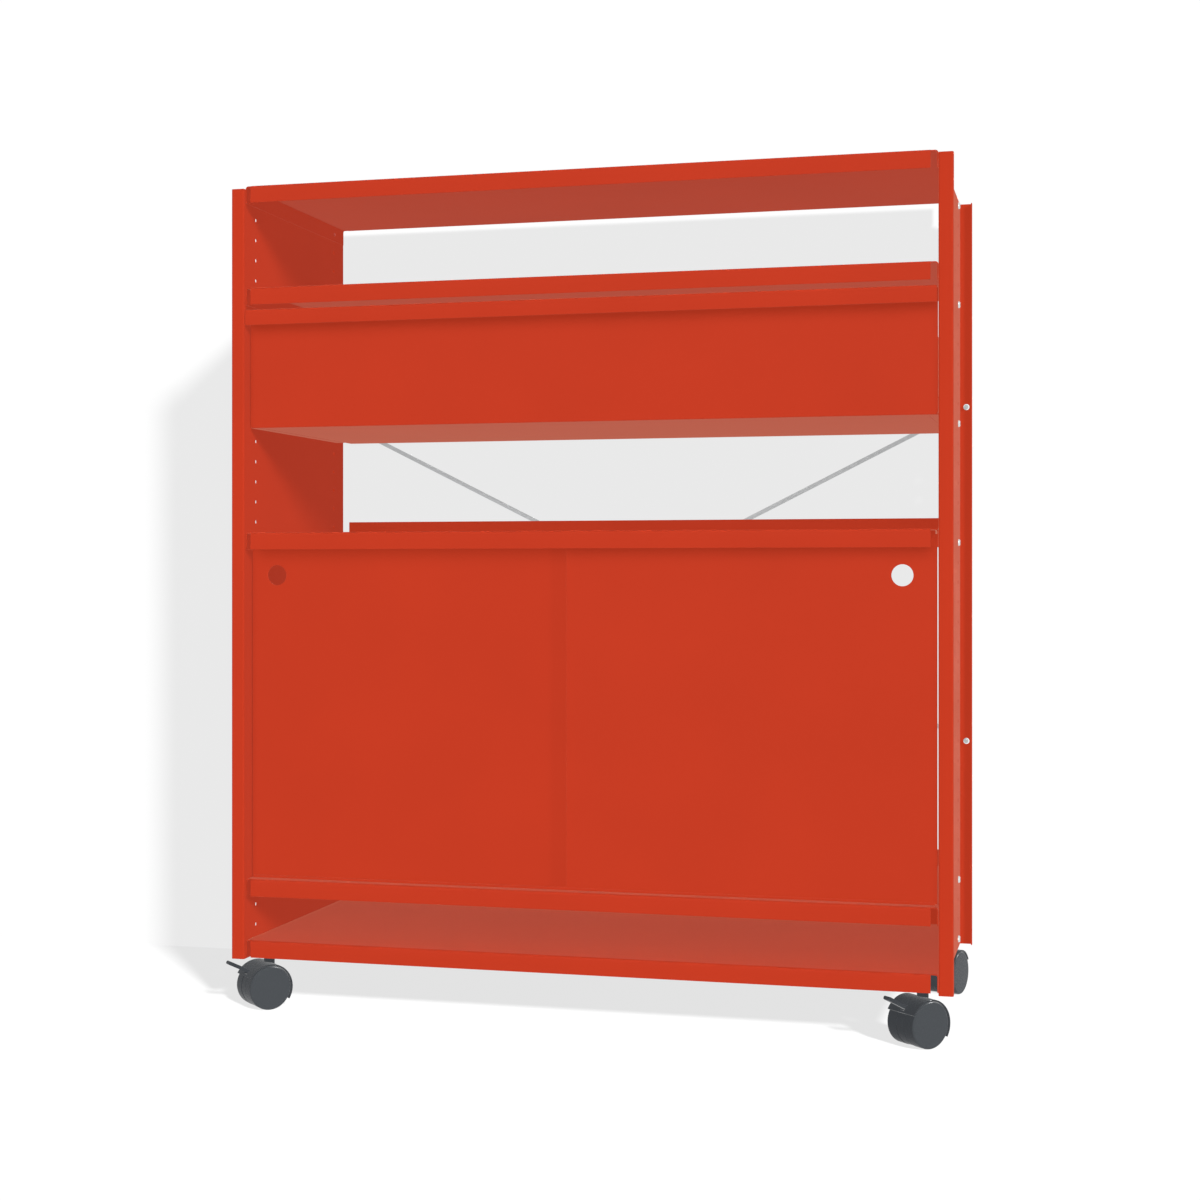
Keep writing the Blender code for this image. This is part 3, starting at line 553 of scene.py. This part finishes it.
def build_screws():
    """A fine screw over each CAD screw, and the pair at the front ends of the drawer rails."""
    seats = {}
    for row in frame["record"]["subparts"]:
        if row["node"].endswith("_screw"):
            low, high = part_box(row["node"])
            sign = 1 if low.x + high.x > 0 else -1
            seat_x = high.x - SCREW_HEAD_HEIGHT if sign > 0 else low.x + SCREW_HEAD_HEIGHT
            seats[row["node"]] = (sign, Vector((seat_x, (low.y + high.y) / 2, (low.z + high.z) / 2)))
    row_span = seats["left_top_shelf_rear_screw"][1].y - seats["left_top_shelf_front_screw"][1].y
    for side in ("left", "right"):
        sign, place = seats[f"{side}_drawer_rail_screw"]
        seats[f"{side}_drawer_rail_front"] = (sign, place - Vector((0.0, row_span, 0.0)))
    for name, (sign, place) in seats.items():
        screw = finished(f"fine_{name}", screw_mesh(), "zinc_steel", "frame", radians(30.0), SCREW_FINISH)
        screw.location = place
        screw.rotation_euler = (0.0, 0.0, 0.0 if sign > 0 else pi)
        if name in frame["nodes"]:
            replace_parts(screw, name)


# Cross brace
def tube_along(mesh, path, radius, steps):
    """Add a round bar along a path, closed flat at both ends."""
    rings = []
    for index, point in enumerate(path):
        ahead = path[min(index + 1, len(path) - 1)] - path[max(index - 1, 0)]
        across = ahead.cross(Vector((0.0, 0.0, 1.0)) if abs(ahead.normalized().z) < 0.9 else Vector((1.0, 0.0, 0.0)))
        across.normalize()
        up = across.cross(ahead).normalized()
        rings.append([mesh.verts.new(point + radius * (across * u + up * v)) for u, v in ring(1.0, steps)])
    for near, far in zip(rings, rings[1:]):
        for index in range(steps):
            following = (index + 1) % steps
            mesh.faces.new((near[index], near[following], far[following], far[index]))
    mesh.faces.new(rings[0])
    mesh.faces.new(rings[-1])


def build_rods():
    """Each rod runs corner to corner, hooked forward at both ends; the rear one bows round the other."""
    for name, high_sign, bows in (("front_brace_rod", -1, False), ("rear_brace_rod", 1, True)):
        low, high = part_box(name)
        reach = (high.x - low.x) / 2 - ROD_RADIUS
        start = Vector((MIDDLE_X + high_sign * reach, low.y + ROD_HOOK, high.z - ROD_RADIUS))
        end = Vector((MIDDLE_X - high_sign * reach, low.y + ROD_HOOK, low.z + ROD_RADIUS))
        bow = high.y - ROD_RADIUS - start.y if bows else 0.0
        hook = Vector((0.0, -ROD_HOOK, 0.0))
        run = []
        for step in range(33):
            share = step / 32
            run.append(start.lerp(end, share) + Vector((0.0, bow * sin(pi * share), 0.0)))
        head = eased([start + hook, start, run[1]], ROD_HOOK_BEND, 8)
        tail = eased([run[-2], end, end + hook], ROD_HOOK_BEND, 8)
        path = head + run[2:-2] + tail
        mesh = bmesh.new()
        tube_along(mesh, path, ROD_RADIUS, 20)
        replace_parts(finished(f"fine_{name}", mesh, "brace_steel", "frame"), name)


# Casters
def wheel_mesh(sign):
    """A wheel with a flat outer face and eased tread edges."""
    middle = (WHEEL_START + WHEEL_END) / 2
    outer = [(WHEEL_END, 0.0), (WHEEL_END, WHEEL_RADIUS), (middle, WHEEL_RADIUS)]
    inner = [(middle, WHEEL_RADIUS), (WHEEL_START, WHEEL_RADIUS), (WHEEL_START, 0.0)]
    outline = eased(outer, WHEEL_OUTER_EDGE, 6) + eased(inner, WHEEL_INNER_EDGE, 3)[1:]
    mesh = bmesh.new()
    turn_about_x(mesh, [(sign * x, r) for x, r in outline], 72, closed=False)
    return mesh


def lever_sides(rises, half, reach):
    """Outline of the lever's tongue, or of the room it turns in, between an upper and a lower side."""
    sides = []
    for rise, offset in zip(rises, (half, -half)):
        along = Vector((-cos(rise), sin(rise)))
        root = LEVER_PIVOT + Vector((sin(rise), cos(rise))) * offset
        sides.append([root, root + along * reach])
    return sides[0] + sides[1][::-1]


LEVER_REACH = LEVER_TIP - LEVER_PIVOT
LEVER_RISE = atan2(LEVER_REACH.y, -LEVER_REACH.x)


def hood_mesh(braked):
    """The roof over both wheels, the web between them and the boss of the stem."""
    core_end = CORE_HALF - CORE_EDGE
    web = bmesh.new()
    disc = [(-core_end, 0.0), (-core_end, CORE_RADIUS), (core_end, CORE_RADIUS), (core_end, 0.0)]
    turn_about_x(web, eased(disc, 0.0004, 3), 72, closed=False)
    roof = bmesh.new()
    section = [
        (-WHEEL_END, FENDER_INNER),
        (-CORE_HALF, FENDER_INNER),
        (-CORE_HALF, CORE_RADIUS - CORE_OVERLAP),
        (CORE_HALF, CORE_RADIUS - CORE_OVERLAP),
        (CORE_HALF, FENDER_INNER),
        (WHEEL_END, FENDER_INNER),
        (WHEEL_END, FENDER_OUTER),
        (-WHEEL_END, FENDER_OUTER),
    ]
    sweep = FENDER_FRONT_ANGLE - FENDER_BACK_ANGLE
    turn_about_x(roof, eased(section, 0.0007, 3, True), 56, FENDER_BACK_ANGLE, sweep)
    boss = bmesh.new()
    column = [(BOSS_ROOT, 0.0), (BOSS_ROOT, BOSS_RADIUS), (HOOD_TOP, BOSS_RADIUS), (HOOD_TOP, 0.0)]
    turn_about_x(boss, eased(column, 0.0012, 4), 36, closed=False)
    upright = Matrix.Translation((0.0, CASTER_TRAIL, 0.0)) @ Matrix.Rotation(-pi / 2, 4, "Y")
    bmesh.ops.transform(boss, matrix=upright, verts=boss.verts)
    hood = combined(web, [roof, boss], "UNION")
    if not braked:
        return hood
    half = LEVER_HALF_WIDTH + RUNNING_GAP
    room = bmesh.new()
    rises = (LEVER_RISE, LEVER_RISE - LEVER_TRAVEL)
    add_prism(room, lever_sides(rises, LEVER_THICKNESS / 2 + RUNNING_GAP, FENDER_OUTER), -half, half)
    seat = bmesh.new()
    add_prism(seat, ring(LEVER_HUB_RADIUS + RUNNING_GAP, 32, LEVER_PIVOT), -half, half)
    return combined(hood, [room, seat], "DIFFERENCE")


def lever_mesh():
    """A straight tongue with a rounded tip on a round hub."""
    tongue = bmesh.new()
    sides = lever_sides((LEVER_RISE, LEVER_RISE), LEVER_THICKNESS / 2, LEVER_REACH.length)
    add_prism(tongue, eased(sides, LEVER_THICKNESS * 0.45, 4, True), -LEVER_HALF_WIDTH, LEVER_HALF_WIDTH)
    hub = bmesh.new()
    add_prism(hub, ring(LEVER_HUB_RADIUS, 32, LEVER_PIVOT), -LEVER_HALF_WIDTH, LEVER_HALF_WIDTH)
    return combined(hub, [tongue], "UNION")


def build_casters():
    for corner, turn in CASTER_TURNS.items():
        braked = corner in BRAKED
        low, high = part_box(f"{corner}_caster_stem")
        stem = Matrix.Translation(((low.x + high.x) / 2, (low.y + high.y) / 2, 0.0))
        axle = Matrix.Translation((0.0, -CASTER_TRAIL, WHEEL_RADIUS))
        place = stem @ Matrix.Rotation(turn, 4, "Z") @ axle
        hood = finished(f"fine_{corner}_hood", hood_mesh(braked), "caster_hood_plastic", f"{corner}_caster")
        hood.matrix_world = place
        even_faces(hood)
        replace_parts(hood, f"{corner}_caster_hood")
        for side, sign in (("left", -1), ("right", 1)):
            body = f"{corner}_caster_{side}_wheel"
            wheel = finished(f"fine_{corner}_{side}_wheel", wheel_mesh(sign), "caster_wheel_plastic", body)
            wheel.matrix_world = place
            even_faces(wheel)
            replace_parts(wheel, body)
        if braked:
            body = f"{corner}_brake_lever"
            lever = finished(f"fine_{corner}_lever", lever_mesh(), "caster_hood_plastic", body)
            lever.matrix_world = place
            even_faces(lever, EDGE_RADIUS)
            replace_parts(lever, body)


# Stage
def seen_directly(tree):
    """One for what the camera, mirrors and glass see of a surface, and nothing for the light it gives."""
    path = tree.nodes.new("ShaderNodeLightPath")
    seen = path.outputs["Is Camera Ray"]
    for ray in ("Is Glossy Ray", "Is Transmission Ray"):
        either = tree.nodes.new("ShaderNodeMath")
        either.operation = "MAXIMUM"
        tree.links.new(seen, either.inputs[0])
        tree.links.new(path.outputs[ray], either.inputs[1])
        seen = either.outputs[0]
    return seen


def stage_material(name, paint_value, lift_value, one_sided):
    """Pale paint that keeps shadows, lifted for what the camera and mirrors see of it."""
    material = bpy.data.materials.new(name)
    material.use_nodes = True
    tree = material.node_tree
    tree.nodes.remove(tree.nodes["Principled BSDF"])
    output = tree.nodes["Material Output"]
    paint = tree.nodes.new("ShaderNodeBsdfDiffuse")
    paint.inputs["Color"].default_value = (paint_value, paint_value, paint_value, 1.0)
    strength = tree.nodes.new("ShaderNodeMath")
    strength.operation = "MULTIPLY"
    strength.inputs[1].default_value = lift_value
    lift = tree.nodes.new("ShaderNodeEmission")
    both = tree.nodes.new("ShaderNodeAddShader")
    tree.links.new(seen_directly(tree), strength.inputs[0])
    tree.links.new(strength.outputs[0], lift.inputs["Strength"])
    tree.links.new(paint.outputs[0], both.inputs[0])
    tree.links.new(lift.outputs[0], both.inputs[1])
    surface = both.outputs[0]
    if one_sided:
        side = tree.nodes.new("ShaderNodeNewGeometry")
        clear = tree.nodes.new("ShaderNodeBsdfTransparent")
        choice = tree.nodes.new("ShaderNodeMixShader")
        tree.links.new(side.outputs["Backfacing"], choice.inputs["Fac"])
        tree.links.new(surface, choice.inputs[1])
        tree.links.new(clear.outputs[0], choice.inputs[2])
        surface = choice.outputs[0]
    tree.links.new(surface, output.inputs["Surface"])
    return material


def stage_plane(name, corners, material):
    mesh = bpy.data.meshes.new(name)
    mesh.from_pydata(corners, [], [(0, 1, 2, 3)])
    mesh.materials.append(material)
    plane = bpy.data.objects.new(name, mesh)
    bpy.context.scene.collection.objects.link(plane)
    plane.visible_diffuse = False
    plane.visible_shadow = False
    return plane


def build_stage():
    """A pale floor, and a pale wall close behind that is seen from its front alone."""
    wall_y = PANEL_LOW.y + WALL_BEHIND_FRONT
    reach = STAGE_REACH
    floor_corners = [(-reach, -reach, 0.0), (reach, -reach, 0.0), (reach, reach, 0.0), (-reach, reach, 0.0)]
    floor = stage_plane("floor", floor_corners, stage_material("floor_paint", FLOOR_PAINT, FLOOR_LIFT, False))
    wall_corners = [(-reach, wall_y, 0.0), (reach, wall_y, 0.0), (reach, wall_y, reach), (-reach, wall_y, reach)]
    wall = stage_plane("wall", wall_corners, stage_material("wall_paint", WALL_PAINT, WALL_LIFT, True))
    return floor, wall


def add_sun(name, direction, strength, softness, receivers, shadow=True):
    """A sun that lights only the objects given."""
    light = bpy.data.lights.new(name, "SUN")
    light.energy = strength
    light.angle = softness
    light.use_shadow = shadow
    light.cycles.use_multiple_importance_sampling = False
    lamp = bpy.data.objects.new(name, light)
    lamp.rotation_euler = Vector(direction).to_track_quat("-Z", "Y").to_euler()
    bpy.context.scene.collection.objects.link(lamp)
    group = bpy.data.collections.new(f"{name}_receivers")
    for piece in receivers:
        group.objects.link(piece)
    lamp.light_linking.receiver_collection = group
    return lamp


def build_light(stage):
    """The room is even; the front and side lights cast the object's shadows, and the stage has a sun of its own."""
    pieces = [piece for piece in bpy.context.scene.objects if piece.type == "MESH" and piece not in stage]
    panels = [piece for piece in pieces if piece.name.endswith("_panel")]
    side = panels + [piece for piece in pieces if piece.name.endswith(("_hood", "_wheel", "_lever", "_stem"))]
    rear_door = [frame["nodes"]["left_door"]]
    front = [piece for piece in pieces if piece not in side + rear_door]
    add_sun("rear_door_light", FRONT_LIGHT_DIRECTION, REAR_DOOR_FRONT_STRENGTH, FRONT_LIGHT_SOFTNESS, rear_door)
    add_sun("door_edge_light", DOOR_LIGHT_DIRECTION, DOOR_LIGHT_STRENGTH, DOOR_LIGHT_SOFTNESS, rear_door)
    add_sun("front_light", FRONT_LIGHT_DIRECTION, FRONT_LIGHT_STRENGTH, FRONT_LIGHT_SOFTNESS, front)
    add_sun("side_light", SIDE_LIGHT_DIRECTION, SIDE_LIGHT_STRENGTH, SIDE_LIGHT_SOFTNESS, side)
    casters = [piece for piece in side if piece.name.endswith(("_hood", "_wheel"))]
    rim = add_sun("rim_light", RIM_LIGHT_DIRECTION, RIM_LIGHT_STRENGTH, RIM_LIGHT_SOFTNESS, casters, False)
    rim.visible_diffuse = False
    fills = [add_sun("panel_fill", (0.0, 1.0, 0.0), PANEL_FILL_STRENGTH, FILL_SOFTNESS, side, False)]
    for name, (direction, strength) in FILL_STRENGTHS.items():
        fills.append(add_sun(f"{name}_fill", direction, strength, FILL_SOFTNESS, pieces, False))
    for fill in fills:
        fill.visible_glossy = False
    add_sun("stage_sun", STAGE_SUN_DIRECTION, STAGE_SUN_STRENGTH, STAGE_SUN_SOFTNESS, stage)
    world = bpy.data.worlds.new("studio")
    world.use_nodes = True
    tree = world.node_tree
    background = tree.nodes["Background"]
    background.inputs["Color"].default_value = (1.0, 1.0, 1.0, 1.0)
    strength = tree.nodes.new("ShaderNodeMapRange")
    strength.inputs["To Min"].default_value = ROOM_STRENGTH
    strength.inputs["To Max"].default_value = 1.0
    tree.links.new(seen_directly(tree), strength.inputs["Value"])
    tree.links.new(strength.outputs["Result"], background.inputs["Strength"])
    bpy.context.scene.world = world


def build_camera():
    data = bpy.data.cameras.new("camera")
    data.lens = LENS_MM
    data.sensor_width = SENSOR_MM
    data.shift_y = -HORIZON_ABOVE_CENTRE_PIXELS / IMAGE_PIXELS
    camera = bpy.data.objects.new("camera", data)
    camera.location = (MIDDLE_X + EYE_RIGHT, PANEL_LOW.y - EYE_BEFORE_FRONT, PANEL_LOW.z + EYE_ABOVE_PANEL_FOOT)
    camera.rotation_euler = (radians(90.0), 0.0, CAMERA_TURN)
    bpy.context.scene.collection.objects.link(camera)
    bpy.context.scene.camera = camera


dress_frame()
build_screws()
build_rods()
build_casters()
build_light(build_stage())
build_camera()
bpy.context.scene.view_settings.view_transform = "Standard"
